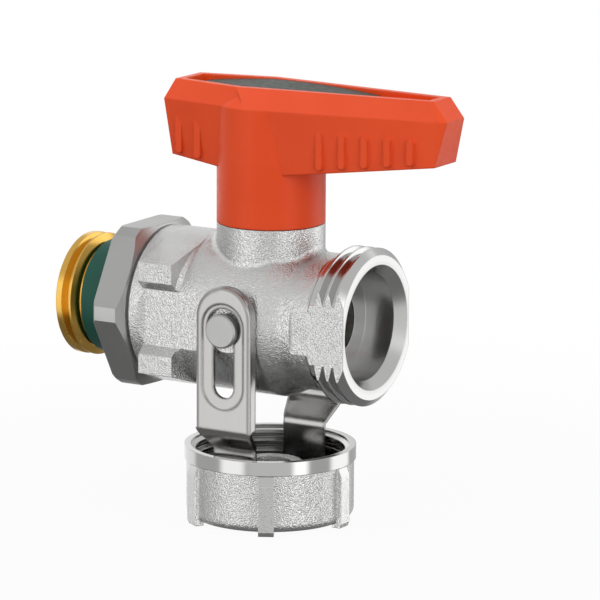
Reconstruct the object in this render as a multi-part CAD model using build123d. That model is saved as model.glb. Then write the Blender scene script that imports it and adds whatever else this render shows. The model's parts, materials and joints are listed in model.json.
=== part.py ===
from build123d import *
import math
import os

# Fill-and-drain ball valve with a hanging closing cap, in millimetres.
# +X runs along the flow from the inlet to the outlet, +Z up the stem to the handle.
# The origin is the centre of the inlet's end face. Shapes are built about the crossing
# of the flow axis and the stem axis, and moved by inlet_reach when they are written.

# Reaches from the stem axis
barrel_reach = 20.5
spigot_reach = 5.4
outlet_reach = 20.34

# How far a cut runs past its face, a root runs into its wall and two bodies overlap where they join
clear_of_all = 60.0
cut_past = 1.0
root_depth = 1.0
weld = 0.1

# Clearances
slip_gap = 0.05
running_gap = 0.1
seat_gap = 0.3

# Pipe threads, true section as ridges: pitch and crest and root radii
thread_pitch = 1.814
thread_flat = 0.3
thread_flank_angle = 27.5
inlet_thread_radius = 10.4775
inlet_root_radius = 9.3155
inlet_crest_count = 2
inlet_first_crest = 1.04
inlet_end_chamfer = 0.12
outlet_thread_radius = 13.2205
outlet_root_radius = 12.0585
outlet_crest_count = 3
outlet_lead_chamfer = 1.0
cap_ridge_radius = 12.6
cap_bore_radius = 13.35

# Flow way
way_radius = 5.25
ball_radius = 8.4
outlet_bore_radius = 9.0
outlet_bore_floor = 13.2
outlet_cone_radius = 10.5
outlet_cone_depth = 1.75
nipple_bore_radius = 6.6
nipple_mouth_chamfer = 0.4

# Hexagon end piece
hex_across_flats = 27.0
hex_corner_radius = 14.95
hex_thickness = 5.4
hex_cone_length = 0.9
hex_back_chamfer = 0.35
nipple_projection = 10.4
spigot_radius = 11.4
nipple_spigot_radius = 8.4
nipple_spigot_depth = 12.4
nipple_undercut_run = 0.2
nipple_shoulder_rise = 0.5

# Green sealing ring
seal_ring_radius = 9.7
seal_ring_core_radius = 8.3
seal_ring_length = 5.9
seal_ring_rounding = 0.3

# Body casting
barrel_radius = 13.25
barrel_end_chamfer = 0.7
barrel_run = 4.8
neck_radius = 11.55
neck_start = 8.4
thread_shoulder = 13.45
thread_shoulder_run = 0.45
outlet_flat_half_width = 11.0
outlet_flat_start = 10.3
chamber_radius = 9.9
chamber_half_length = 4.6
seat_outer_radius = 9.3
seat_back = 7.95
boss_radius = 9.1
boss_height = 15.9
boss_fillet = 1.2
neck_fillet = 2.0
body_neck_radius = 6.5
body_neck_top = 21.0
stop_lug_radius = 7.9
stop_lug_height = 2.4
stop_lug_angle = 30.0
stop_lug_root = 0.4
stop_clearance_angle = 1.0
handle_travel = 90.0

# Wrench lugs on both sides of the barrel
lug_half_width = 13.9
lug_inner_height = 6.2
lug_outer_height = 9.45
lug_setback = 3.0
lug_length = 6.55
lug_side_slope = 0.092
lug_foot_reach = 0.85
lug_foot = 0.75
lug_flat_half_width = 12.36
lug_flat_half_height = 4.77
lug_flat_setback = 3.5
lug_flat_ramp = 1.3
lug_flat_end = -2.0

# Stem
stem_radius = 3.5
stem_flange_radius = 5.0
stem_flange_bottom = 9.95
stem_flange_thickness = 1.75
stem_washer_thickness = 0.9
stem_top = 26.8
stem_square = 5.2
stem_square_start = 21.5
tang_thickness = 3.0
tang_width = 6.6
tang_bottom = 6.6
tang_slot_gap = 0.2
ring_section_radius = 0.46
ring_groove_width = 1.2
ring_heights = (14.4, 18.2)
ring_proud = 0.05
body_ring_section_radius = 0.7
body_ring_place = 3.0
body_ring_play = 0.1
body_ring_proud = 0.03

# Handle
collar_gap = 0.1
handle_wide_height = 35.9
rim_rise = 3.25
collar_top_radius = 6.3
rim_widest_place = -2.9
rim_widest_half_width = 6.7
long_wing_tip = 34.7
long_wing_tip_half_width = 3.46
long_wing_root_half_width = 8.95
long_wing_rim_setback = 2.55
long_wing_rim_half_width = 2.95
long_wing_root_slope = 0.139
long_wing_tip_slope = -0.025
long_wing_end_slope = 0.247
long_wing_depth = 11.5
long_wing_bottom_rise = 0.1226
long_wing_corner_length = 1.2
long_wing_corner_width = 0.53
short_wing_tip = 17.6
short_wing_tip_half_width = 5.5
short_wing_root_half_width = 8.4
short_wing_rim_setback = 1.3
short_wing_rim_half_width = 3.92
short_wing_side_slope = 0.095
short_wing_end_slope = 0.116
short_wing_depth = 11.15
short_wing_bottom_rise = 0.105
wing_base_depth = 12.3
collar_cavity_radius = 6.8
hub_bottom = 22.0
hub_top = 27.05
rim_wall = 1.35
rim_recess_depth = 2.1
pocket_floor = 30.5
pocket_wall = 2.6
pocket_reach_long = 15.0
pocket_reach_short = 11.0
grip_rib_width = 1.3
grip_rib_root = 1.5
grip_rib_lift = 0.55
grip_rib_proud = 0.68
long_rib_start = 12.9
long_rib_pitch = 3.985
long_rib_top_drop = 3.05
long_rib_count = 5
short_rib_start = 10.7
short_rib_pitch = 4.07
short_rib_top_drop = 2.8
short_rib_count = 2
insert_reach_long = 19.0
insert_reach_short = 13.5
insert_thickness = 1.2
insert_crown = 0.75

# Handle screw
screw_radius = 1.95
screw_length = 8.0
screw_head_radius = 3.6
screw_head_height = 2.2
screw_socket_flats = 2.5
screw_socket_floor = 0.8
screw_head_chamfer = 0.3
screw_end_gap = 0.5
washer_radius = 4.4
washer_thickness = 0.8

# Studs that carry the strap
stud_radius = 1.9
stud_head_radius = 2.85
stud_head_outer = 16.4
stud_head_chamfer = 0.25
stud_boss_radius = 4.0
stud_bore_bottom = 10.7
stud_boss_gap = 0.15

# Strap
strap_outer = 15.6
strap_thickness = 0.8
strap_recess_depth = 0.35
strap_half_width = 5.25
strap_flange_depth = 1.25
strap_top = 7.2
strap_edge_rounding = 0.7
hole_radius = 3.15
hole_height = 0.55
slot_half_width = 2.0
slot_end_depth = 9.5
recess_half_width = 3.9
recess_edge_rounding = 0.2
leg_end_depth = 16.9
bend_start_depth = 14.9
bend_end_depth = 17.4
upper_bend_radius = 2.6
lower_bend_radius = 1.8
neck_start_depth = 20.6
neck_half_width = 4.05
neck_edge_rounding = 0.35
strap_eye_radius = 8.6

# Cap
cap_rim_depth = 22.04
cap_height = 12.26
cap_rim_radius = 14.475
cap_band_height = 2.36
cap_skirt_radius = 14.15
cap_floor_thickness = 2.0
cap_rib_count = 6
cap_rib_width = 2.6
cap_rib_radius = 14.95
cap_rib_bevel = 1.2
cap_rib_phase = -1.8
cap_rib_foot_drop = 0.35
cap_rib_foot_setback = 0.3
cap_rib_foot_height = 0.4
cap_rib_shoulder_drop = 0.2
cap_edge_rounding = 1.5
cap_boss_radius = 5.7
cap_boss_rise = 7.1
cap_boss_hollow_radius = 3.4
cap_boss_hollow_depth = 3.5
cap_boss_rounding = 0.5
cap_ridge_crest = 0.62
cap_ridge_base = 1.4
cap_ridge_count = 3
cap_ridge_root = 0.3
clip_radius = 6.9
clip_thickness = 0.6
clip_groove_depth = 0.5
clip_opening = 3.0
gasket_inner_radius = 7.1
gasket_outer_radius = 10.95
gasket_thickness = 2.5
strap_lift = 8.5

# Places that follow from the sizes above
hex_front = -barrel_reach
hex_back = hex_front - hex_thickness
inlet_reach = barrel_reach + hex_thickness + nipple_projection
spigot_end = -spigot_reach
lug_start = hex_front + lug_setback
lug_end = lug_start + lug_length
lug_flat_start = hex_front + lug_flat_setback
throat_start = hex_back + nipple_spigot_depth
seat_pocket_radius = seat_outer_radius + slip_gap
thread_depth = outlet_thread_radius - outlet_root_radius
thread_flank = thread_depth * math.tan(math.radians(thread_flank_angle))
collar_bottom = boss_height + collar_gap
handle_top = handle_wide_height + rim_rise
neck_outer = outlet_flat_half_width + running_gap + strap_thickness
strap_inner = strap_outer - strap_thickness
web_outer = strap_outer - strap_recess_depth
web_inner = web_outer - strap_thickness
wing_base_height = handle_wide_height - wing_base_depth
cap_bottom = cap_rim_depth + cap_height
cap_floor = cap_bottom - cap_floor_thickness
strap_base_top = cap_floor - slip_gap - strap_thickness


def rod_x(radius, start, end):
    """A cylinder on the flow axis."""
    low = (Align.CENTER, Align.CENTER, Align.MIN)
    return Pos(start, 0, 0) * Rot(0, 90, 0) * Cylinder(radius, end - start, align=low)


def rod_y(radius, start, end, height=0.0):
    """A cylinder along +Y, from start to end."""
    low = (Align.CENTER, Align.CENTER, Align.MIN)
    return Pos(0, start, height) * Rot(-90, 0, 0) * Cylinder(radius, end - start, align=low)


def rod_z(radius, bottom, top):
    """A cylinder on the stem axis."""
    low = (Align.CENTER, Align.CENTER, Align.MIN)
    return Pos(0, 0, bottom) * Cylinder(radius, top - bottom, align=low)


def block(x_span, y_span, z_span):
    """A box between two values on each axis."""
    size = [high - low for low, high in (x_span, y_span, z_span)]
    return Pos(x_span[0], y_span[0], z_span[0]) * Box(*size, align=(Align.MIN,) * 3)


def turned_x(points):
    """A turned part from (x, radius) points."""
    return revolve(make_face(Polyline(*points, close=True)), Axis.X)


def turned_z(points):
    """A turned part from (radius, z) points."""
    return revolve(Plane.XZ * make_face(Polyline(*points, close=True)), Axis.Z)


def both_sides(shape):
    """A shape and its mirror across the plane of the two axes."""
    return shape + mirror(shape, Plane.XZ)


def crest_points(first_crest, count, crest_radius, root_radius):
    """The (x, radius) outline of a run of thread crests."""
    flank = (crest_radius - root_radius) * math.tan(math.radians(thread_flank_angle))
    points = []
    for index in range(count):
        centre = first_crest + index * thread_pitch
        points.append((centre - thread_flat / 2 - flank, root_radius))
        points.append((centre - thread_flat / 2, crest_radius))
        points.append((centre + thread_flat / 2, crest_radius))
        points.append((centre + thread_flat / 2 + flank, root_radius))
    return points


def outlet_outline():
    """The (x, radius) outline of the outlet's neck and thread, up to its end face."""
    last_crest = outlet_reach - outlet_lead_chamfer - thread_flat / 2
    first_crest = last_crest - (outlet_crest_count - 1) * thread_pitch
    points = [(thread_shoulder, neck_radius), (thread_shoulder + thread_shoulder_run, outlet_root_radius)]
    points += crest_points(first_crest, outlet_crest_count, outlet_thread_radius, outlet_root_radius)[:-1]
    points.append((outlet_reach, outlet_root_radius))
    return points


def body_outside():
    """The barrel, neck and threaded outlet as one turned form with the stem boss on it."""
    points = [
        (hex_front, 0),
        (hex_front, barrel_radius - barrel_end_chamfer),
        (hex_front + barrel_end_chamfer, barrel_radius),
        (barrel_run, barrel_radius),
        (neck_start, neck_radius),
    ]
    points += outlet_outline()
    points.append((outlet_reach, 0))
    barrel = turned_x(points)
    barrel = fillet(barrel.edges().filter_by(GeomType.CIRCLE).filter_by_position(
        Axis.X, barrel_run - weld, neck_start + weld), neck_fillet)
    body = barrel + rod_z(boss_radius, 0, boss_height)
    seam = [e for e in body.edges() if e.geom_type not in (GeomType.CIRCLE, GeomType.LINE)
            and e.center().Z > 0]
    return fillet(seam, boss_fillet)


def wrench_lugs():
    """Two raised lugs on each side of the barrel, each with a sloped foot at its outlet end."""
    bearing = math.atan2(lug_outer_height, lug_half_width)
    corner = math.hypot(lug_outer_height, lug_half_width)
    touch = bearing + math.acos(barrel_radius / corner)
    outline = Polyline(
        (-lug_half_width, lug_inner_height),
        (-lug_half_width, lug_outer_height),
        (-barrel_radius * math.cos(touch), barrel_radius * math.sin(touch)),
        (-barrel_radius * 0.6, lug_flat_half_height),
        (-lug_flat_half_width, lug_flat_half_height),
        close=True,
    )
    face = Plane.YZ * make_face(outline)
    bar = Pos(lug_start, 0, 0) * extrude(face, lug_length + lug_half_width)
    slope = math.degrees(math.atan(lug_side_slope))
    all_round = (-clear_of_all, clear_of_all)
    beyond = Pos(lug_end, -lug_half_width, 0) * Rot(0, 0, -slope) * block(
        (0, clear_of_all), all_round, all_round)
    foot_end = lug_end + lug_foot_reach
    foot = turned_x([
        (lug_start, 0),
        (lug_start, barrel_radius + lug_foot),
        (foot_end - lug_foot, barrel_radius + lug_foot),
        (foot_end, barrel_radius),
        (foot_end, 0),
    ])
    lug = (bar - beyond) + (bar & foot)
    lug += mirror(lug, Plane.XY)
    return both_sides(lug)


def lug_flats():
    """What is cut from both sides of the barrel between the lugs: a flat that ramps up at the inlet end."""
    rise = barrel_radius - lug_flat_half_width
    reach = lug_half_width + rise
    ramp = lug_flat_ramp * (reach - lug_flat_half_width) / rise
    outline = make_face(Polyline(
        (lug_flat_start, -lug_flat_half_width),
        (lug_flat_end, -lug_flat_half_width),
        (lug_flat_end, -reach),
        (lug_flat_start - ramp, -reach),
        close=True,
    ))
    return both_sides(extrude(outline, lug_flat_half_height, both=True))


def stop_lug():
    """The stop on the shoulder of the boss, inside the handle's collar."""
    sector = Rot(0, 0, 180 - stop_lug_angle / 2) * revolve(
        Plane.XZ * Pos(body_neck_radius - stop_lug_root, boss_height - weld) * Rectangle(
            stop_lug_radius - body_neck_radius + stop_lug_root, stop_lug_height + weld,
            align=(Align.MIN, Align.MIN)),
        Axis.Z, stop_lug_angle)
    return sector


def make_valve_body():
    """The body casting: barrel, boss, lugs, stud bosses, outlet and all that is bored in it."""
    body = body_outside() + wrench_lugs()
    body -= lug_flats()
    body += both_sides(rod_y(stud_boss_radius, -(web_inner - stud_boss_gap), -chamber_radius - root_depth))
    side = block((outlet_flat_start, outlet_reach + cut_past), (-lug_half_width, -outlet_flat_half_width),
                 (-lug_half_width, lug_half_width))
    body -= both_sides(side)
    body += rod_z(body_neck_radius, boss_height - root_depth, body_neck_top) + stop_lug()
    body -= rod_x(spigot_radius + slip_gap, hex_front - cut_past, spigot_end + slip_gap)
    body -= rod_x(chamber_radius, spigot_end, chamber_half_length)
    body -= rod_x(seat_pocket_radius, 0, seat_back + slip_gap)
    body -= rod_x(way_radius, 0, outlet_reach)
    body -= turned_x([
        (outlet_bore_floor, 0),
        (outlet_bore_floor, outlet_bore_radius),
        (outlet_reach - outlet_cone_depth, outlet_bore_radius),
        (outlet_reach, outlet_cone_radius),
        (outlet_reach + cut_past, outlet_cone_radius),
        (outlet_reach + cut_past, 0),
    ])
    flange_top = stem_flange_bottom + stem_flange_thickness + stem_washer_thickness + 2 * slip_gap
    body -= rod_z(stem_flange_radius + running_gap, 0, flange_top)
    body -= rod_z(stem_radius + running_gap, 0, body_neck_top + cut_past)
    body -= both_sides(rod_y(stud_radius + slip_gap, -strap_outer, -stud_bore_bottom))
    return body


def make_end_piece():
    """The hexagon flange with the screwed spigot that closes the body and holds the inlet seat."""
    hexagon = RegularPolygon(hex_across_flats / 2, 6, major_radius=False)
    prism = Pos(hex_back, 0, 0) * extrude(Plane.YZ * hexagon, hex_thickness)
    turning = turned_x([
        (hex_back, 0),
        (hex_back, hex_corner_radius - hex_back_chamfer),
        (hex_back + hex_back_chamfer, hex_corner_radius),
        (hex_front - hex_cone_length, hex_corner_radius),
        (hex_front, barrel_radius),
        (hex_front, 0),
    ])
    piece = (prism & turning) + rod_x(spigot_radius, hex_front - root_depth, spigot_end)
    groove_start = hex_front + body_ring_place
    groove_end = groove_start + 2 * (body_ring_section_radius + body_ring_play)
    groove = rod_x(spigot_radius + cut_past, groove_start, groove_end)
    groove -= rod_x(spigot_radius - 2 * body_ring_section_radius, groove_start, groove_end)
    piece -= groove
    piece -= rod_x(nipple_spigot_radius + slip_gap, hex_back - cut_past, throat_start)
    piece -= rod_x(way_radius, hex_back, spigot_end + cut_past)
    piece -= rod_x(seat_pocket_radius, -seat_back - slip_gap, spigot_end + cut_past)
    return piece


def make_inlet_nipple():
    """The turned inlet with its thread, the neck for the sealing ring and the end that is screwed in."""
    first_crest = -inlet_reach + inlet_first_crest
    ring_start = hex_back - seal_ring_length - slip_gap
    points = [(-inlet_reach, nipple_bore_radius + nipple_mouth_chamfer)]
    points.append((-inlet_reach, inlet_thread_radius - inlet_end_chamfer))
    points.append((-inlet_reach + inlet_end_chamfer, inlet_thread_radius))
    points += crest_points(first_crest, inlet_crest_count, inlet_thread_radius, inlet_root_radius)[2:]
    undercut = points[-1][0]
    points += [
        (undercut + nipple_undercut_run, seal_ring_core_radius + nipple_shoulder_rise),
        (ring_start, seal_ring_core_radius + nipple_shoulder_rise),
        (ring_start, seal_ring_core_radius),
        (hex_back, seal_ring_core_radius),
        (hex_back, nipple_spigot_radius),
        (throat_start - slip_gap, nipple_spigot_radius),
        (throat_start - slip_gap, nipple_bore_radius),
        (-inlet_reach + nipple_mouth_chamfer, nipple_bore_radius),
    ]
    return turned_x(points)


def make_inlet_seal_ring():
    """The green ring that seals on the female thread's root."""
    start = hex_back - seal_ring_length
    ring = rod_x(seal_ring_radius, start, hex_back - slip_gap)
    ring = fillet(ring.edges().filter_by(GeomType.CIRCLE), seal_ring_rounding)
    return ring - rod_x(seal_ring_core_radius + slip_gap, start - cut_past, hex_back + cut_past)


def make_ball():
    """The full-bore ball with the slot that the stem's tang drives."""
    ball = Sphere(ball_radius) - rod_x(way_radius, -ball_radius - cut_past, ball_radius + cut_past)
    half = tang_thickness / 2 + running_gap
    slot_bottom = tang_bottom - tang_slot_gap
    return ball - block((-half, half), (-ball_radius, ball_radius), (slot_bottom, ball_radius))


def make_seat(side):
    """A seat ring behind or ahead of the ball, hollowed to the ball's radius."""
    inner = chamber_half_length - running_gap
    section = Pos(inner, way_radius + seat_gap) * Rectangle(
        seat_back - inner, seat_outer_radius - way_radius - seat_gap,
        align=(Align.MIN, Align.MIN))
    ring = revolve(section - Circle(ball_radius + slip_gap), Axis.X)
    return ring if side > 0 else mirror(ring, Plane.YZ)


def make_stem():
    """The stem: tang, retaining flange, shaft with two ring grooves and the square for the handle."""
    half_tang = tang_thickness / 2
    half_width = tang_width / 2
    flange_top = stem_flange_bottom + stem_flange_thickness
    tang = block((-half_tang, half_tang), (-half_width, half_width), (tang_bottom, flange_top))
    stem = tang + rod_z(stem_flange_radius, stem_flange_bottom, flange_top)
    stem += rod_z(stem_radius, flange_top - weld, stem_square_start)
    half_square = stem_square / 2
    square = block((-half_square, half_square), (-half_square, half_square),
                   (stem_square_start - weld, stem_top))
    stem += square & rod_z(stem_radius, stem_square_start - weld, stem_top)
    for height in ring_heights:
        low = height - ring_groove_width / 2
        cut = rod_z(stem_radius + cut_past, low, low + ring_groove_width)
        stem -= cut - rod_z(stem_radius - 2 * ring_section_radius, low, low + ring_groove_width)
    return stem - rod_z(screw_radius + slip_gap, stem_top - screw_length, stem_top + cut_past)


def make_stem_ring(height):
    """An O-ring in its groove on the stem."""
    return Pos(0, 0, height) * Torus(stem_radius + ring_proud - ring_section_radius, ring_section_radius)


def make_stem_washer():
    """The thrust washer between the stem's flange and the body."""
    low = stem_flange_bottom + stem_flange_thickness + slip_gap
    ring = rod_z(stem_flange_radius, low, low + stem_washer_thickness)
    return ring - rod_z(stem_radius + running_gap, low - cut_past, low + stem_washer_thickness + cut_past)


def make_body_ring():
    """The O-ring between the end piece and the body."""
    place = hex_front + body_ring_place + body_ring_section_radius + body_ring_play
    major = spigot_radius + body_ring_proud - body_ring_section_radius
    return Pos(place, 0, 0) * Rot(0, 90, 0) * Torus(major, body_ring_section_radius)


def wing_outline(root, root_half, tip, tip_half, height):
    """A level outline of one wing, from its root to its tip."""
    points = [(root, -root_half), (tip, -tip_half), (tip, tip_half), (root, root_half)]
    return Pos(0, 0, height) * make_face(Polyline(*points, close=True))


def wing_levels(direction):
    """The half widths and tips of a wing at its base level and its widest level."""
    if direction > 0:
        root_low = long_wing_root_half_width - long_wing_root_slope * wing_base_depth
        tip_low = long_wing_tip_half_width - long_wing_tip_slope * wing_base_depth
        low = (root_low, long_wing_tip - long_wing_end_slope * wing_base_depth, tip_low)
        return low, (long_wing_root_half_width, long_wing_tip, long_wing_tip_half_width)
    root_low = short_wing_root_half_width - short_wing_side_slope * wing_base_depth
    tip_low = short_wing_tip_half_width - short_wing_side_slope * wing_base_depth
    low = (root_low, short_wing_tip - short_wing_end_slope * wing_base_depth, tip_low)
    return low, (short_wing_root_half_width, short_wing_tip, short_wing_tip_half_width)


def wing_bottom(direction, place):
    """The height of a wing's underside at a distance from the stem axis."""
    if direction > 0:
        return handle_wide_height - long_wing_depth + long_wing_bottom_rise * place
    return handle_wide_height - short_wing_depth + short_wing_bottom_rise * place


def wing_side(direction, place, height):
    """Half the width of a wing below its widest level, at a distance from the stem axis and a height."""
    low, wide = wing_levels(direction)
    share = (height - wing_base_height) / wing_base_depth
    root, tip, tip_half = (a + (b - a) * share for a, b in zip(low, wide))
    return root + (tip_half - root) * place / tip


def beyond_plane(first, second, third):
    """A large block on one side of the plane through three points."""
    along = Vector(*second) - Vector(*first)
    across = Vector(*third) - Vector(*first)
    size = clear_of_all / 2
    cube = Box(size, size, size, align=(Align.CENTER, Align.CENTER, Align.MIN))
    return Plane(first, x_dir=along, z_dir=along.cross(across)) * cube


def tip_corners():
    """What is cut from the long wing's two upright corners, above and below its widest level."""
    low_tip_height = wing_bottom(1, long_wing_tip)
    drop = handle_wide_height - low_tip_height
    side = long_wing_tip - long_wing_corner_length
    side_half = long_wing_tip_half_width
    side_half += (long_wing_root_half_width - side_half) * long_wing_corner_length / long_wing_tip
    on_side = (side, side_half, handle_wide_height)
    on_end = (long_wing_tip, long_wing_tip_half_width - long_wing_corner_width, handle_wide_height)
    low = (long_wing_tip - long_wing_end_slope * drop,
           long_wing_tip_half_width - long_wing_tip_slope * drop, low_tip_height)
    high = (long_wing_tip - long_wing_rim_setback, long_wing_rim_half_width, handle_top)
    return both_sides(beyond_plane(on_side, on_end, low) + beyond_plane(on_end, on_side, high))


def make_wing(direction):
    """One wing of the handle: sides lean in towards the bottom, and a bevel runs up to the rim."""
    low, wide = wing_levels(direction)
    if direction > 0:
        tip = long_wing_tip - long_wing_rim_setback
        tip_half, root, rise = long_wing_rim_half_width, rim_widest_place, long_wing_bottom_rise
    else:
        tip = short_wing_tip - short_wing_rim_setback
        tip_half, root, rise = short_wing_rim_half_width, -rim_widest_place, short_wing_bottom_rise
    base_face = wing_outline(0, *low, wing_base_height)
    wide_face = wing_outline(0, *wide, handle_wide_height)
    top_face = wing_outline(root, rim_widest_half_width, tip, tip_half, handle_top)
    wing = loft([base_face, wide_face], ruled=True) + loft([wide_face, top_face], ruled=True)
    under = Pos(0, 0, wing_bottom(direction, 0)) * Rot(0, -math.degrees(math.atan(rise)), 0)
    span = (-clear_of_all, clear_of_all)
    wing -= under * block(span, span, (-clear_of_all, 0))
    if direction > 0:
        return wing - tip_corners()
    return mirror(wing, Plane.YZ)


def grip_ribs():
    """The upright grip ribs on both sides of both wings."""
    rows = [
        (1, long_rib_start, long_rib_pitch, long_rib_count, handle_wide_height - long_rib_top_drop),
        (-1, short_rib_start, short_rib_pitch, short_rib_count, handle_wide_height - short_rib_top_drop),
    ]
    ribs = None
    for direction, start, pitch, count, top in rows:
        for index in range(count):
            place = start + index * pitch
            bottom = wing_bottom(direction, place) + grip_rib_lift
            outer = wing_side(direction, place, bottom) + grip_rib_proud
            slot = SlotOverall(top - bottom, grip_rib_width, rotation=90)
            bar = extrude(Plane.XZ * slot, outer) - extrude(Plane.XZ * slot, grip_rib_root)
            bar = Pos(direction * place, 0, (top + bottom) / 2) * bar
            ribs = bar if ribs is None else ribs + bar
    return both_sides(ribs)


def rim_shape(inset, height, depth, reach_long, reach_short):
    """A prism of the rim's outline, drawn in by inset, used for the recess, the pocket and the insert."""
    long_end = long_wing_tip - long_wing_rim_setback
    short_end = short_wing_tip - short_wing_rim_setback
    points = [
        (long_end, long_wing_rim_half_width),
        (rim_widest_place, rim_widest_half_width),
        (-short_end, short_wing_rim_half_width),
        (-short_end, -short_wing_rim_half_width),
        (rim_widest_place, -rim_widest_half_width),
        (long_end, -long_wing_rim_half_width),
    ]
    outline = offset(make_face(Polyline(*points, close=True)), -inset, kind=Kind.INTERSECTION)
    solid = extrude(Pos(0, 0, height) * outline, depth)
    return solid & block((-reach_short, reach_long), (-clear_of_all, clear_of_all), (0, clear_of_all))


def make_handle():
    """The handle moulding: collar, hub, two wings, bevelled rim, recess, pocket and grip ribs."""
    collar = turned_z([
        (0, collar_bottom),
        (boss_radius, collar_bottom),
        (boss_radius, handle_wide_height),
        (collar_top_radius, handle_top),
        (0, handle_top),
    ])
    handle = collar + make_wing(1) + make_wing(-1)
    handle += grip_ribs()
    handle -= rod_z(collar_cavity_radius, collar_bottom - cut_past, hub_bottom)
    relief = Rot(0, 0, 180 - stop_lug_angle / 2 - stop_clearance_angle) * revolve(
        Plane.XZ * Pos(0, collar_bottom - cut_past) * Rectangle(
            stop_lug_radius + seat_gap, stop_lug_height + cut_past + seat_gap,
            align=(Align.MIN, Align.MIN)),
        Axis.Z, stop_lug_angle + handle_travel + 2 * stop_clearance_angle)
    handle -= relief
    half = stem_square / 2 + slip_gap
    socket = block((-half, half), (-half, half), (hub_bottom - cut_past, hub_top + cut_past))
    handle -= socket & rod_z(stem_radius + slip_gap, hub_bottom - cut_past, hub_top + cut_past)
    handle -= rod_z(washer_radius + seat_gap, hub_top, pocket_floor + cut_past)
    floor = handle_top - rim_recess_depth
    handle -= rim_shape(rim_wall, floor, rim_recess_depth + cut_past, clear_of_all, clear_of_all)
    handle -= rim_shape(pocket_wall, pocket_floor, floor - pocket_floor + cut_past,
                        pocket_reach_long, pocket_reach_short)
    return handle


def make_handle_insert():
    """The plate in the top of the handle, crowned along its length."""
    floor = handle_top - rim_recess_depth
    plate = rim_shape(rim_wall + running_gap, floor + slip_gap, insert_thickness + insert_crown,
                      insert_reach_long, insert_reach_short)
    half = (insert_reach_long + insert_reach_short) / 2
    radius = (half ** 2 + insert_crown ** 2) / (2 * insert_crown)
    middle = (insert_reach_long - insert_reach_short) / 2
    top = floor + slip_gap + insert_thickness + insert_crown
    crown = Pos(middle, 0, top - radius) * Rot(90, 0, 0) * Cylinder(radius, clear_of_all)
    return plate & crown


def make_handle_screw():
    """The socket-head screw that clamps the handle on the stem."""
    low = hub_top + washer_thickness + 2 * slip_gap
    head = rod_z(screw_head_radius, low, low + screw_head_height)
    head = chamfer(head.edges().filter_by(GeomType.CIRCLE).sort_by(Axis.Z)[-1], screw_head_chamfer)
    screw = head + rod_z(screw_radius, stem_top - screw_length + screw_end_gap, low + weld)
    hexagon = RegularPolygon(screw_socket_flats / 2, 6, major_radius=False)
    key = extrude(Pos(0, 0, low + screw_socket_floor) * hexagon, screw_head_height)
    return screw - key


def make_handle_washer():
    """The washer under the screw's head."""
    low = hub_top + slip_gap
    ring = rod_z(washer_radius, low, low + washer_thickness)
    return ring - rod_z(screw_radius + running_gap, low - cut_past, low + washer_thickness + cut_past)


def make_stud(side):
    """A headed pin in the body's stud boss."""
    stud = rod_y(stud_radius, -(web_outer + running_gap + weld), -stud_bore_bottom - running_gap)
    head = rod_y(stud_head_radius, -stud_head_outer, -(web_outer + running_gap))
    outer_edge = head.edges().filter_by(GeomType.CIRCLE).sort_by(Axis.Y)[0]
    stud += chamfer(outer_edge, stud_head_chamfer)
    return stud if side < 0 else mirror(stud, Plane.XZ)


def leg_outline(half_width, top, bottom):
    """The upright outline of a strap leg, with a round top."""
    centre = top - half_width
    line = Line((half_width, centre), (half_width, bottom))
    line += Line((half_width, bottom), (-half_width, bottom))
    line += Line((-half_width, bottom), (-half_width, centre))
    line += ThreePointArc((-half_width, centre), (0, top), (half_width, centre))
    return make_face(line)


def keyhole(half_width, round_radius):
    """The outline of the slot with its round head."""
    slot = Pos(0, -slot_end_depth) * Circle(half_width)
    slot_length = hole_height + slot_end_depth
    slot += Pos(0, (hole_height - slot_end_depth) / 2) * Rectangle(2 * half_width, slot_length)
    return slot + Pos(0, hole_height) * Circle(round_radius)


def plate_y(face, outer, inner):
    """A plate cut from an upright outline, between two distances on the near side."""
    return Pos(0, -inner, 0) * extrude(Plane.XZ * face, outer - inner)


def strap_leg():
    """The near leg: a channel with rounded edges, a recess round the slot and a raised bead."""
    leg_bottom = -leg_end_depth
    leg = plate_y(leg_outline(strap_half_width, strap_top, leg_bottom), strap_outer,
                  strap_outer - strap_thickness - strap_flange_depth)
    front = [e for e in leg.faces().sort_by(Axis.Y)[0].edges() if e.center().Z > leg_bottom + weld]
    leg = fillet(front, strap_edge_rounding)
    inner_half = strap_half_width - strap_thickness
    hollow = plate_y(leg_outline(inner_half, strap_top - strap_thickness, leg_bottom - cut_past),
                     strap_inner, strap_inner - strap_flange_depth - cut_past)
    leg -= hollow
    recess = keyhole(recess_half_width, recess_half_width)
    leg += plate_y(recess, strap_inner, web_inner)
    leg -= plate_y(recess, strap_outer + cut_past, web_outer)
    recess_rim = [e for e in leg.faces().sort_by(Axis.Y)[0].inner_wires()[0].edges()]
    leg = fillet(recess_rim, recess_edge_rounding)
    leg -= plate_y(keyhole(slot_half_width, hole_radius), strap_outer + cut_past, web_inner - cut_past)
    return leg


def strap_path_half():
    """The side view of the strap's bend, neck and base, as a band in the YZ plane, near half."""
    base_low = -(cap_floor - slip_gap)
    inner = neck_outer - strap_thickness
    turn = math.atan2(strap_outer - neck_outer, neck_start_depth - bend_end_depth)
    mitre = strap_thickness * math.tan(turn / 2)
    bends = [
        ((-strap_outer, -bend_end_depth), upper_bend_radius),
        ((-strap_inner, -bend_end_depth + mitre), upper_bend_radius - strap_thickness),
        ((-neck_outer, -neck_start_depth), lower_bend_radius),
        ((-inner, -neck_start_depth + mitre), lower_bend_radius + strap_thickness),
    ]
    points = [
        (-strap_outer, -bend_start_depth),
        bends[0][0],
        bends[2][0],
        (-neck_outer, base_low),
        (0, base_low),
        (0, base_low + strap_thickness),
        (-inner, base_low + strap_thickness),
        bends[3][0],
        bends[1][0],
        (-strap_inner, -bend_start_depth),
    ]
    band = make_face(Polyline(*points, close=True))
    for corner, radius in bends:
        band = fillet(band.vertices().sort_by_distance(Vertex(*corner))[0], radius)
    return band


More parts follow.
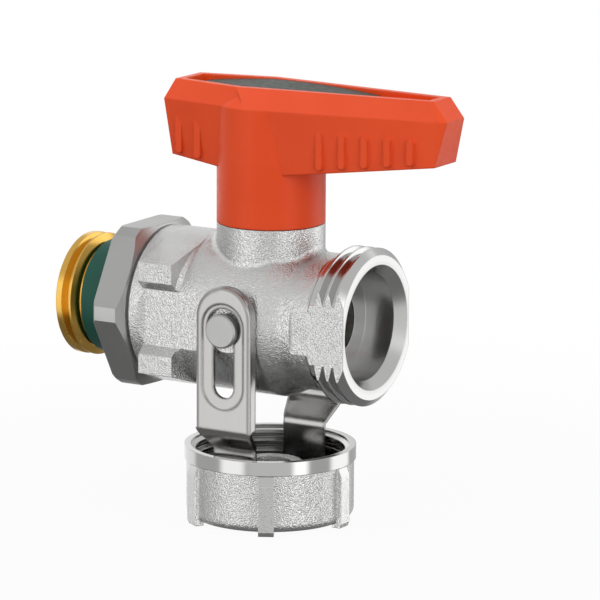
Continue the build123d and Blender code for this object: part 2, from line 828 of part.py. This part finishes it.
def make_strap():
    """The strap: two legs, the bends, the necks beside the outlet's flats, and the base round the boss."""
    band = extrude(Plane.YZ * strap_path_half(), neck_half_width, both=True)
    shoulder = extrude(Plane.YZ * strap_path_half(), strap_half_width, both=True)
    taper = make_face(Polyline(
        (-strap_half_width, -leg_end_depth),
        (strap_half_width, -leg_end_depth),
        (neck_half_width, -neck_start_depth),
        (-neck_half_width, -neck_start_depth),
        close=True,
    ))
    shoulder &= extrude(Plane.XZ * taper, clear_of_all)
    outer_edges = [e for e in band.edges().filter_by(Axis.Z)
                   if abs(e.center().Y + neck_outer) < weld]
    band = fillet(outer_edges, neck_edge_rounding)
    half = band + shoulder + strap_leg()
    strap = both_sides(half)
    base_low = -(cap_floor - slip_gap)
    strap += rod_z(strap_eye_radius, base_low, base_low + strap_thickness)
    hole_top = base_low + strap_thickness + cut_past
    return strap - rod_z(cap_boss_radius + slip_gap, base_low - cut_past, hole_top)


def cap_outside():
    """The outside of the cap: machined rim band, cast skirt with a rounded bottom edge and six ribs."""
    rim = -cap_rim_depth
    band_low = rim - cap_band_height
    bottom = -cap_bottom
    skirt = rod_z(cap_skirt_radius, bottom, band_low + weld)
    skirt = fillet(skirt.edges().filter_by(GeomType.CIRCLE).sort_by(Axis.Z)[0], cap_edge_rounding)
    outside = skirt + rod_z(cap_rim_radius, band_low, rim)
    rib_profile = Plane.XZ * make_face(Polyline(
        (cap_skirt_radius - root_depth, bottom - cap_rib_foot_drop),
        (cap_rib_radius - cap_rib_foot_setback, bottom - cap_rib_foot_drop),
        (cap_rib_radius, bottom + cap_rib_foot_height),
        (cap_rib_radius, band_low - cap_rib_bevel - cap_rib_shoulder_drop),
        (cap_rim_radius - weld, band_low - weld),
        (cap_skirt_radius - root_depth, band_low - weld),
        close=True,
    ))
    rib = extrude(rib_profile, cap_rib_width / 2, both=True)
    for index in range(cap_rib_count):
        outside += Rot(0, 0, cap_rib_phase + index * 360 / cap_rib_count) * rib
    return outside


def cap_ridge(depth):
    """One ridge of the cap's inner thread, at a depth under the rim."""
    centre = -cap_rim_depth - depth
    crest = cap_ridge_crest / 2
    base = cap_ridge_base / 2
    return turned_z([
        (cap_ridge_radius, centre - crest),
        (cap_bore_radius + cap_ridge_root, centre - base - weld),
        (cap_bore_radius + cap_ridge_root, centre + base + weld),
        (cap_ridge_radius, centre + crest),
    ])


def first_ridge_depth():
    """The depth of the cap's first ridge: half a pitch before the outlet's first crest when screwed on."""
    rim_when_closed = cap_rim_depth - strap_lift
    last_crest = outlet_reach - outlet_lead_chamfer - thread_flat / 2
    first_crest = last_crest - (outlet_crest_count - 1) * thread_pitch
    return first_crest - thread_pitch / 2 - rim_when_closed


def make_cap():
    """The closing cap with its inner thread and the hollow centre boss that carries the strap."""
    cap = cap_outside()
    floor = -cap_floor
    cap -= rod_z(cap_bore_radius, floor, 0)
    for index in range(cap_ridge_count):
        cap += cap_ridge(first_ridge_depth() + index * thread_pitch)
    boss_top = floor + cap_boss_rise
    boss = rod_z(cap_boss_radius, floor - weld, boss_top)
    boss = fillet(boss.edges().filter_by(GeomType.CIRCLE).sort_by(Axis.Z)[-1], cap_boss_rounding)
    boss -= rod_z(cap_boss_hollow_radius, boss_top - cap_boss_hollow_depth, boss_top + cut_past)
    cap += boss
    groove_low = -strap_base_top + slip_gap
    groove_high = groove_low + clip_thickness + 2 * slip_gap
    groove = rod_z(cap_boss_radius + cut_past, groove_low, groove_high)
    return cap - (groove - rod_z(cap_boss_radius - clip_groove_depth, groove_low, groove_high))


def make_cap_clip():
    """The retaining ring on the cap's boss, above the strap's base."""
    low = -strap_base_top + 2 * slip_gap
    ring = rod_z(clip_radius, low, low + clip_thickness)
    span = (low - cut_past, low + clip_thickness + cut_past)
    ring -= rod_z(cap_boss_radius - clip_groove_depth + slip_gap, *span)
    return ring - block((0, clear_of_all), (-clip_opening / 2, clip_opening / 2), span)


def make_cap_gasket():
    """The flat gasket round the clip, on the strap's base."""
    low = -strap_base_top + slip_gap
    ring = rod_z(gasket_outer_radius, low, low + gasket_thickness)
    return ring - rod_z(gasket_inner_radius, low - cut_past, low + gasket_thickness + cut_past)


def write_parts():
    """Writes every piece, moved so that the inlet's end is at the origin."""
    pieces = {
        "valve_body": make_valve_body(),
        "end_piece": make_end_piece(),
        "inlet_nipple": make_inlet_nipple(),
        "inlet_seal_ring": make_inlet_seal_ring(),
        "body_ring": make_body_ring(),
        "ball": make_ball(),
        "inlet_seat": make_seat(-1),
        "outlet_seat": make_seat(1),
        "stem": make_stem(),
        "stem_washer": make_stem_washer(),
        "stem_ring_lower": make_stem_ring(ring_heights[0]),
        "stem_ring_upper": make_stem_ring(ring_heights[1]),
        "handle": make_handle(),
        "handle_insert": make_handle_insert(),
        "handle_screw": make_handle_screw(),
        "handle_washer": make_handle_washer(),
        "stud_near": make_stud(-1),
        "stud_far": make_stud(1),
        "strap": make_strap(),
        "cap": make_cap(),
        "cap_clip": make_cap_clip(),
        "cap_gasket": make_cap_gasket(),
    }
    os.makedirs("parts", exist_ok=True)
    for name, shape in pieces.items():
        export_step(Pos(inlet_reach, 0, 0) * shape, f"parts/{name}.step")


write_parts()
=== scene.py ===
import json
import math
from functools import reduce

import bpy
from mathutils import Matrix, Vector

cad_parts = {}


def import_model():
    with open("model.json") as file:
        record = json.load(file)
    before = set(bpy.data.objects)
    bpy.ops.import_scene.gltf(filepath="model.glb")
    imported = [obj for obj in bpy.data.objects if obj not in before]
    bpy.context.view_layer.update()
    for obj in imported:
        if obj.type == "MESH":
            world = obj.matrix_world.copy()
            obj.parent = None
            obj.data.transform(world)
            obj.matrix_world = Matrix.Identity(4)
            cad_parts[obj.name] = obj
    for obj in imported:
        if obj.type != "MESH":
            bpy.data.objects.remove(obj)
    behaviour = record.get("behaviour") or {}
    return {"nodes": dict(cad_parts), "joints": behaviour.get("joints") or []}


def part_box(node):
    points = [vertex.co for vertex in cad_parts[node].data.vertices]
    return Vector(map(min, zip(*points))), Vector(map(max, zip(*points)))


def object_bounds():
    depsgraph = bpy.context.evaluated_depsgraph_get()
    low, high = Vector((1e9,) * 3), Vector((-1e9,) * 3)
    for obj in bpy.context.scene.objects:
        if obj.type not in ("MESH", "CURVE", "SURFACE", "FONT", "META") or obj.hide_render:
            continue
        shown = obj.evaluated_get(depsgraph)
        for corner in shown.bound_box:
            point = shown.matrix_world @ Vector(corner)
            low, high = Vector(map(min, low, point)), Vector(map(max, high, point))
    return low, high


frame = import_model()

MM = 0.001
CAD_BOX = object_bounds()
STEM_X = next(joint["pos_m"][0] for joint in frame["joints"] if joint["name"] == "handle_turn")
OUTLET_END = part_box("valve_body")[1][0]
CAP_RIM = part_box("cap")[1][2]

# Machined places of the body: along the flow, half the width over the outlet's flats, and radii
# from the flow axis; all the bores lie within BORES_RADIUS
FACE_START = OUTLET_END - 0.09 * MM
THREAD_START = OUTLET_END - 7.29 * MM
OUTLET_FLAT = 10.95 * MM
BORES_RADIUS = 10.8 * MM
BORES_ROUGHNESS_RADIUS = 11.1 * MM
THREAD_INNER_RADIUS = 11.3 * MM

# Machined places of the cap: heights, and radii from the stem axis
CAP_BAND_FOOT = CAP_RIM - 2.36 * MM
CAP_RIB_SHOULDER = CAP_RIM - 4.06 * MM
CAP_RIB_FOOT_RADIUS = 14.35 * MM
CAP_THREAD_OUTER_RADIUS = 13.75 * MM
CAP_THREAD_INNER_RADIUS = 12.05 * MM

# How rough or smooth the machined places are, and the span in which most of a noise's values lie
BORES_ROUGHNESS = 0.26
THREAD_ROUGHNESS = 0.14
RIB_SMOOTHNESS = 0.4
NOISE_SPAN = (0.3, 0.7)

# The photograph's camera: how it is turned about the part, what it points at, and its lens
CAMERA_TURN = 30.44
CAMERA_LIFT = 11.705
CAMERA_ROLL = 0.301
CAMERA_DISTANCE = 713.54 * MM
CAMERA_TARGET = (STEM_X + 5.669 * MM, 0, 3.086 * MM)
PHOTO_WIDTH = 600.0
FOCAL_LENGTH = 4280.0
SENSOR_WIDTH = 36.0

# The upright white panels that gloss shows: bearing from the camera's, half width and strength
FRONT_PANEL = (0, 30, 0.2)
SIDE_PANELS = ((-52, 17, 0.85), (42, 10, 1.2), (110, 20, 0.95), (-150, 30, 0.5))
FRONT_SOFTNESS = 6
SIDE_SOFTNESS = 4

# Ramps by the height of a direction: where it starts and ends, and its level at each
SKY = (0.05, 0.4, 0.52, 0.7)
GROUND = (-0.64, -0.44, 0.4, 1.0)
PANEL_FOOT = (-0.6, -0.45, 0.0, 1.0)
PANEL_TOP = (0.35, 0.6, 1.0, 0.0)

# Square lamps: name, place, size and power
LAMPS = (
    ("key", (-0.3, -0.55, 0.65), 0.9, 3.5),
    ("fill", (0.85, -0.35, 0.3), 0.6, 3.2),
    ("top", (0.05, 0.05, 0.9), 0.9, 2.2),
)

# The studio's floor and surround
FLOOR_SIZE = 6.0
FLOOR_GREY = 0.42
FLOOR_GLOW = 0.95
SHADOW_REACH = 60 * MM
WHITE_REACH = 160 * MM
SURROUND_COLOUR = (0.97, 0.98, 1.0, 1.0)
SURROUND_STRENGTH = 0.6
WHITE = (1.0, 1.0, 1.0, 1.0)


# Node helpers
class Graph:
    """A small builder for a node tree."""

    def __init__(self, tree):
        self.tree = tree
        self.tree.nodes.clear()
        self.coords = self.node("ShaderNodeTexCoord")

    def node(self, kind, **values):
        made = self.tree.nodes.new(kind)
        for key, value in values.items():
            setattr(made, key, value)
        return made

    def link(self, source, target, socket=0):
        """Joins a node's first output to an input of another."""
        self.tree.links.new(source.outputs[0], target.inputs[socket])

    def plug(self, value, socket):
        """Feeds a number, a colour or another socket into an input."""
        if isinstance(value, bpy.types.NodeSocket):
            self.tree.links.new(value, socket)
        else:
            socket.default_value = value

    def math(self, operation, a, b=0.0):
        made = self.node("ShaderNodeMath", operation=operation)
        self.plug(a, made.inputs[0])
        self.plug(b, made.inputs[1])
        return made.outputs[0]

    def total(self, *terms):
        return reduce(lambda a, b: self.math("ADD", a, b), terms)

    def product(self, *factors):
        return reduce(lambda a, b: self.math("MULTIPLY", a, b), factors)

    def largest(self, *values):
        return reduce(lambda a, b: self.math("MAXIMUM", a, b), values)

    def mix(self, factor, a, b):
        """A blend of two colours."""
        made = self.node("ShaderNodeMix", data_type="RGBA")
        self.plug(factor, made.inputs[0])
        self.plug(a, made.inputs[6])
        self.plug(b, made.inputs[7])
        return made.outputs[2]

    def blend(self, factor, a, b):
        """A blend of two numbers."""
        made = self.node("ShaderNodeMix", data_type="FLOAT")
        self.plug(factor, made.inputs[0])
        self.plug(a, made.inputs[2])
        self.plug(b, made.inputs[3])
        return made.outputs[0]

    def noise(self, scale, detail=3.0, roughness=0.55, stretch=None, distortion=0.0):
        made = self.node("ShaderNodeTexNoise")
        made.inputs["Scale"].default_value = scale
        made.inputs["Detail"].default_value = detail
        made.inputs["Roughness"].default_value = roughness
        made.inputs["Distortion"].default_value = distortion
        source = self.coords.outputs["Object"]
        if stretch:
            mapping = self.node("ShaderNodeMapping")
            mapping.inputs["Scale"].default_value = stretch
            self.tree.links.new(source, mapping.inputs["Vector"])
            source = mapping.outputs["Vector"]
        self.tree.links.new(source, made.inputs["Vector"])
        return made.outputs["Fac"]

    def step(self, value, low, high, start=0.0, end=1.0):
        """A clamped ramp of a value between two places."""
        made = self.node("ShaderNodeMapRange", clamp=True)
        self.plug(value, made.inputs["Value"])
        made.inputs["From Min"].default_value = low
        made.inputs["From Max"].default_value = high
        made.inputs["To Min"].default_value = start
        made.inputs["To Max"].default_value = end
        return made.outputs["Result"]

    def past(self, value, place, softness, start=0.0, end=1.0):
        """A soft change from one level to another at a place."""
        return self.step(value, place - softness, place + softness, start, end)

    def varied(self, value, level, below, above):
        """A level that a noise value lowers and raises by two factors."""
        return self.step(value, *NOISE_SPAN, level * below, level * above)

    def parts(self, name="Object"):
        """The x, y and z of a texture coordinate, as sockets."""
        split = self.node("ShaderNodeSeparateXYZ")
        self.tree.links.new(self.coords.outputs[name], split.inputs[0])
        return tuple(split.outputs)

    def radius(self, a, b):
        """The distance from an axis, from two offsets."""
        return self.math("SQRT", self.total(self.product(a, a), self.product(b, b)))

    def bump(self, height, distance, strength=1.0, normal=None):
        made = self.node("ShaderNodeBump")
        made.inputs["Strength"].default_value = strength
        made.inputs["Distance"].default_value = distance
        self.plug(height, made.inputs["Height"])
        if normal is not None:
            self.plug(normal, made.inputs["Normal"])
        return made.outputs["Normal"]

    def bevel(self, radius):
        """A normal that rounds the edges."""
        made = self.node("ShaderNodeBevel", samples=6)
        made.inputs["Radius"].default_value = radius
        return made.outputs["Normal"]

    def choose(self, factor, first, second):
        """A blend of two shaders or backgrounds."""
        made = self.node("ShaderNodeMixShader")
        self.plug(factor, made.inputs[0])
        self.link(first, made, 1)
        self.link(second, made, 2)
        return made


class Paint(Graph):
    """The node tree of a new material."""

    def __init__(self, name):
        self.material = bpy.data.materials.new(name)
        self.material.use_nodes = True
        super().__init__(self.material.node_tree)
        self.output = self.node("ShaderNodeOutputMaterial")

    def finish(self, colour, roughness, normal, metallic=0.0, specular=0.5):
        """Joins the values to a shader and gives the material."""
        shader = self.node("ShaderNodeBsdfPrincipled")
        self.link(shader, self.output)
        self.plug(colour, shader.inputs["Base Color"])
        self.plug(roughness, shader.inputs["Roughness"])
        self.plug(normal, shader.inputs["Normal"])
        shader.inputs["Metallic"].default_value = metallic
        shader.inputs["Specular IOR Level"].default_value = specular
        return self.material


def rgb(red, green, blue):
    """A linear colour from its 0 to 255 screen values."""
    def linear(value):
        value /= 255.0
        return value / 12.92 if value <= 0.04045 else ((value + 0.055) / 1.055) ** 2.4
    return (linear(red), linear(green), linear(blue), 1.0)


# Materials
def body_turned(g):
    """The body's thread, mouth and bores, away from the flats beyond the neck, and how rough they are."""
    x, y, z = g.parts()
    radial = g.radius(y, z)
    thread = g.product(
        g.past(x, THREAD_START, 0.15 * MM),
        g.past(radial, THREAD_INNER_RADIUS, 0.1 * MM),
        g.past(g.math("ABSOLUTE", y), OUTLET_FLAT, 0.02 * MM, 1.0, 0.0))
    bores = g.past(radial, BORES_RADIUS, 0.05 * MM, 1.0, 0.0)
    face = g.past(x, FACE_START, 0.05 * MM)
    roughness = g.past(radial, BORES_ROUGHNESS_RADIUS, 0.2 * MM, BORES_ROUGHNESS, THREAD_ROUGHNESS)
    return g.largest(bores, face, thread), roughness


def cap_turned(g):
    """The cap's rim band, thread and, in part, ribs, and how rough they are."""
    x, y, z = g.parts()
    softness = 0.05 * MM
    radial = g.radius(g.math("SUBTRACT", x, STEM_X), y)
    band = g.past(z, CAP_BAND_FOOT, softness)
    ribs = g.product(g.past(z, CAP_RIB_SHOULDER, softness, RIB_SMOOTHNESS, 1.0),
                     g.past(radial, CAP_RIB_FOOT_RADIUS, softness))
    thread = g.product(g.past(radial, CAP_THREAD_OUTER_RADIUS, softness, 1.0, 0.0),
                       g.past(radial, CAP_THREAD_INNER_RADIUS, softness))
    return g.largest(band, ribs, thread), THREAD_ROUGHNESS


def cast_nickel(name, turned, edge):
    """Bright nickel over a fine rough casting; turned gives the machined places and how rough they are."""
    g = Paint(name)
    mask, turned_roughness = turned(g)
    grain = g.noise(4900.0, 0.0, 0.5, distortion=0.3)
    swell = g.noise(1300.0, 1.0, 0.5)
    height = g.total(grain, g.product(swell, 0.2))
    normal = g.bump(g.product(height, g.math("SUBTRACT", 1.0, mask)), 0.1 * MM, 1.0, g.bevel(edge))
    cloud = g.mix(g.noise(90.0, 3.0), rgb(212, 212, 211), rgb(222, 222, 221))
    tint = g.mix(mask, cloud, rgb(206, 206, 205))
    cast_roughness = g.step(g.noise(1200.0, 2.0), *NOISE_SPAN, 0.14, 0.2)
    return g.finish(tint, g.blend(mask, cast_roughness, turned_roughness), normal, 1.0)


def turned_metal(name, low, high, roughness):
    """Turned metal with faint rings along the flow axis."""
    g = Paint(name)
    rings = g.noise(1.0, 2.0, 0.5, stretch=(5200.0, 60.0, 60.0))
    cloud = g.noise(120.0, 3.0)
    rough = g.varied(g.total(g.product(rings, 0.6), g.product(cloud, 0.4)), roughness, 0.8, 1.25)
    normal = g.bump(rings, 0.012 * MM, 0.5, g.bevel(0.12 * MM))
    return g.finish(g.mix(cloud, low, high), rough, normal, 1.0)


def pressed_steel(name, low, high, roughness):
    """Polished strip with faint rolling lines along its length."""
    g = Paint(name)
    lines = g.noise(1.0, 2.0, 0.5, stretch=(2600.0, 2600.0, 40.0))
    cloud = g.noise(140.0, 3.0)
    rough = g.varied(g.total(g.product(lines, 0.5), g.product(cloud, 0.5)), roughness, 0.75, 1.3)
    normal = g.bump(lines, 0.006 * MM, 0.6, g.bevel(0.6 * MM))
    return g.finish(g.mix(cloud, low, high), rough, normal, 1.0)


def moulded_plastic(name, low, high, roughness):
    """Satin moulded plastic with a fine spark-eroded grain."""
    g = Paint(name)
    cloud = g.noise(60.0, 3.0)
    fine = g.noise(900.0, 2.0, 0.5)
    colour = g.mix(g.step(cloud, 0.35, 0.65), low, high)
    normal = g.bump(fine, 0.005 * MM, 0.5, g.bevel(0.4 * MM))
    return g.finish(colour, g.varied(fine, roughness, 0.85, 1.2), normal, specular=0.27)


def rubber(name, low, high, roughness):
    """Satin rubber with a faint grain."""
    g = Paint(name)
    cloud = g.noise(200.0, 3.0)
    fine = g.noise(1600.0, 2.0)
    normal = g.bump(fine, 0.01 * MM, 0.4)
    return g.finish(g.mix(cloud, low, high), g.varied(fine, roughness, 0.85, 1.15), normal, specular=0.3)


def dress():
    """Gives each piece its material."""
    white = moulded_plastic("seat_white", rgb(222, 221, 216), rgb(230, 229, 224), 0.45)
    black = rubber("black_ring", rgb(28, 28, 29), rgb(36, 36, 37), 0.5)
    steel = turned_metal("screw_steel", rgb(176, 176, 176), rgb(188, 188, 188), 0.3)
    stud = turned_metal("stud_steel", rgb(184, 184, 182), rgb(190, 190, 188), 0.4)
    materials = {
        "valve_body": cast_nickel("cast_body", body_turned, 0.18 * MM),
        "cap": cast_nickel("cast_cap", cap_turned, 0.2 * MM),
        "end_piece": turned_metal("satin_nickel", rgb(178, 178, 177), rgb(190, 190, 189), 0.34),
        "inlet_nipple": turned_metal("polished_brass", rgb(224, 177, 84), rgb(232, 187, 98), 0.2),
        "inlet_seal_ring": rubber("green_seal", rgb(14, 72, 60), rgb(20, 82, 68), 0.42),
        "ball": turned_metal("plated_ball", rgb(222, 222, 222), rgb(230, 230, 230), 0.08),
        "stem": turned_metal("stem_brass", rgb(226, 190, 118), rgb(234, 200, 130), 0.25),
        "handle": moulded_plastic("orange_handle", rgb(220, 71, 26), rgb(225, 76, 30), 0.36),
        "handle_insert": moulded_plastic("grey_insert", rgb(70, 73, 68), rgb(78, 81, 76), 0.6),
        "strap": pressed_steel("strap_steel", rgb(172, 171, 169), rgb(182, 181, 179), 0.16),
        "cap_gasket": rubber("black_gasket", rgb(26, 26, 27), rgb(34, 34, 35), 0.55),
        "inlet_seat": white,
        "outlet_seat": white,
        "stem_washer": white,
        "body_ring": black,
        "stem_ring_lower": black,
        "stem_ring_upper": black,
        "handle_screw": steel,
        "handle_washer": steel,
        "cap_clip": steel,
        "stud_near": stud,
        "stud_far": stud,
    }
    for name, thing in frame["nodes"].items():
        thing.data.materials.clear()
        thing.data.materials.append(materials[name])


# Studio
def shadow_floor():
    """A pale floor that shows white to the camera but keeps the object's soft shadow."""
    bpy.ops.mesh.primitive_plane_add(size=FLOOR_SIZE, location=(STEM_X, 0, CAD_BOX[0][2]))
    floor = bpy.context.object
    floor.name = "floor"
    g = Paint("floor_paint")
    diffuse = g.node("ShaderNodeBsdfDiffuse")
    diffuse.inputs["Color"].default_value = (FLOOR_GREY, FLOOR_GREY, FLOOR_GREY, 1.0)
    glow = g.node("ShaderNodeEmission")
    glow.inputs["Color"].default_value = WHITE
    clear = g.node("ShaderNodeBsdfTransparent")
    path = g.node("ShaderNodeLightPath")
    x, y = g.parts()[:2]
    share = g.step(g.radius(x, y), SHADOW_REACH, WHITE_REACH, FLOOR_GLOW, 1.0)
    paint = g.choose(g.product(path.outputs["Is Camera Ray"], share), diffuse, glow)
    g.link(g.choose(path.outputs["Is Glossy Ray"], paint, clear), g.output)
    floor.data.materials.append(g.material)


def area_lamp(name, place, size, power):
    """A square lamp that points at the body and doesn't show in gloss."""
    data = bpy.data.lights.new(name, "AREA")
    data.energy = power
    data.size = size
    lamp = bpy.data.objects.new(name, data)
    bpy.context.scene.collection.objects.link(lamp)
    lamp.location = place
    aim = Vector((STEM_X, 0, 0)) - Vector(place)
    lamp.rotation_euler = aim.to_track_quat("-Z", "Y").to_euler()
    lamp.visible_glossy = False


def panel(g, along, centre, half_width, strength, softness=SIDE_SOFTNESS):
    """An upright soft panel of the surround; centre is its bearing to the right of the camera's."""
    bearing = math.radians(CAMERA_TURN + centre)
    toward = g.total(g.product(along[0], math.sin(bearing)), g.product(along[1], -math.cos(bearing)))
    edge = [math.cos(math.radians(half_width + side * softness)) for side in (1, -1)]
    return g.product(g.step(toward, *edge), strength)


def background(g, colour, strength):
    """A background shader of one colour."""
    made = g.node("ShaderNodeBackground")
    g.plug(colour, made.inputs["Color"])
    g.plug(strength, made.inputs["Strength"])
    return made


def world():
    """A soft surround that lights the object, and the studio's white panels that its gloss shows."""
    made = bpy.data.worlds.new("studio")
    made.use_nodes = True
    g = Graph(made.node_tree)
    x, y, z = g.parts("Generated")
    level = g.largest(g.radius(x, y), 0.001)
    along = (g.math("DIVIDE", x, level), g.math("DIVIDE", y, level))
    front = panel(g, along, *FRONT_PANEL, softness=FRONT_SOFTNESS)
    panels = g.total(front, *(panel(g, along, *values) for values in SIDE_PANELS))
    shown = g.product(g.step(z, *PANEL_FOOT), g.step(z, *PANEL_TOP))
    plain = g.product(g.step(z, *SKY), g.step(z, *GROUND))
    gloss = g.total(plain, g.product(panels, shown))
    path = g.node("ShaderNodeLightPath")
    lit = g.choose(path.outputs["Is Glossy Ray"],
                   background(g, SURROUND_COLOUR, SURROUND_STRENGTH), background(g, WHITE, gloss))
    seen = g.largest(path.outputs["Is Camera Ray"], path.outputs["Is Transmission Ray"])
    g.link(g.choose(seen, lit, background(g, WHITE, 1.0)), g.node("ShaderNodeOutputWorld"))
    bpy.context.scene.world = made


def camera():
    """The photograph's camera, from the fit of the threads, the hexagon and the cap."""
    turn, lift, roll = (math.radians(angle) for angle in (CAMERA_TURN, CAMERA_LIFT, CAMERA_ROLL))
    back = Vector((math.sin(turn) * math.cos(lift), -math.cos(turn) * math.cos(lift), math.sin(lift)))
    right = Vector((math.cos(turn), math.sin(turn), 0))
    up = back.cross(right)
    across = math.cos(roll) * right + math.sin(roll) * up
    above = -math.sin(roll) * right + math.cos(roll) * up
    data = bpy.data.cameras.new("camera")
    data.sensor_width = SENSOR_WIDTH
    data.lens = FOCAL_LENGTH / PHOTO_WIDTH * SENSOR_WIDTH
    data.clip_start = 0.01
    data.clip_end = 20.0
    made = bpy.data.objects.new("camera", data)
    bpy.context.scene.collection.objects.link(made)
    turned = Matrix((across, above, back)).transposed().to_4x4()
    made.matrix_world = Matrix.Translation(Vector(CAMERA_TARGET) + back * CAMERA_DISTANCE) @ turned
    bpy.context.scene.camera = made


dress()
shadow_floor()
for lamp_values in LAMPS:
    area_lamp(*lamp_values)
world()
camera()
bpy.context.scene.view_settings.view_transform = "Standard"
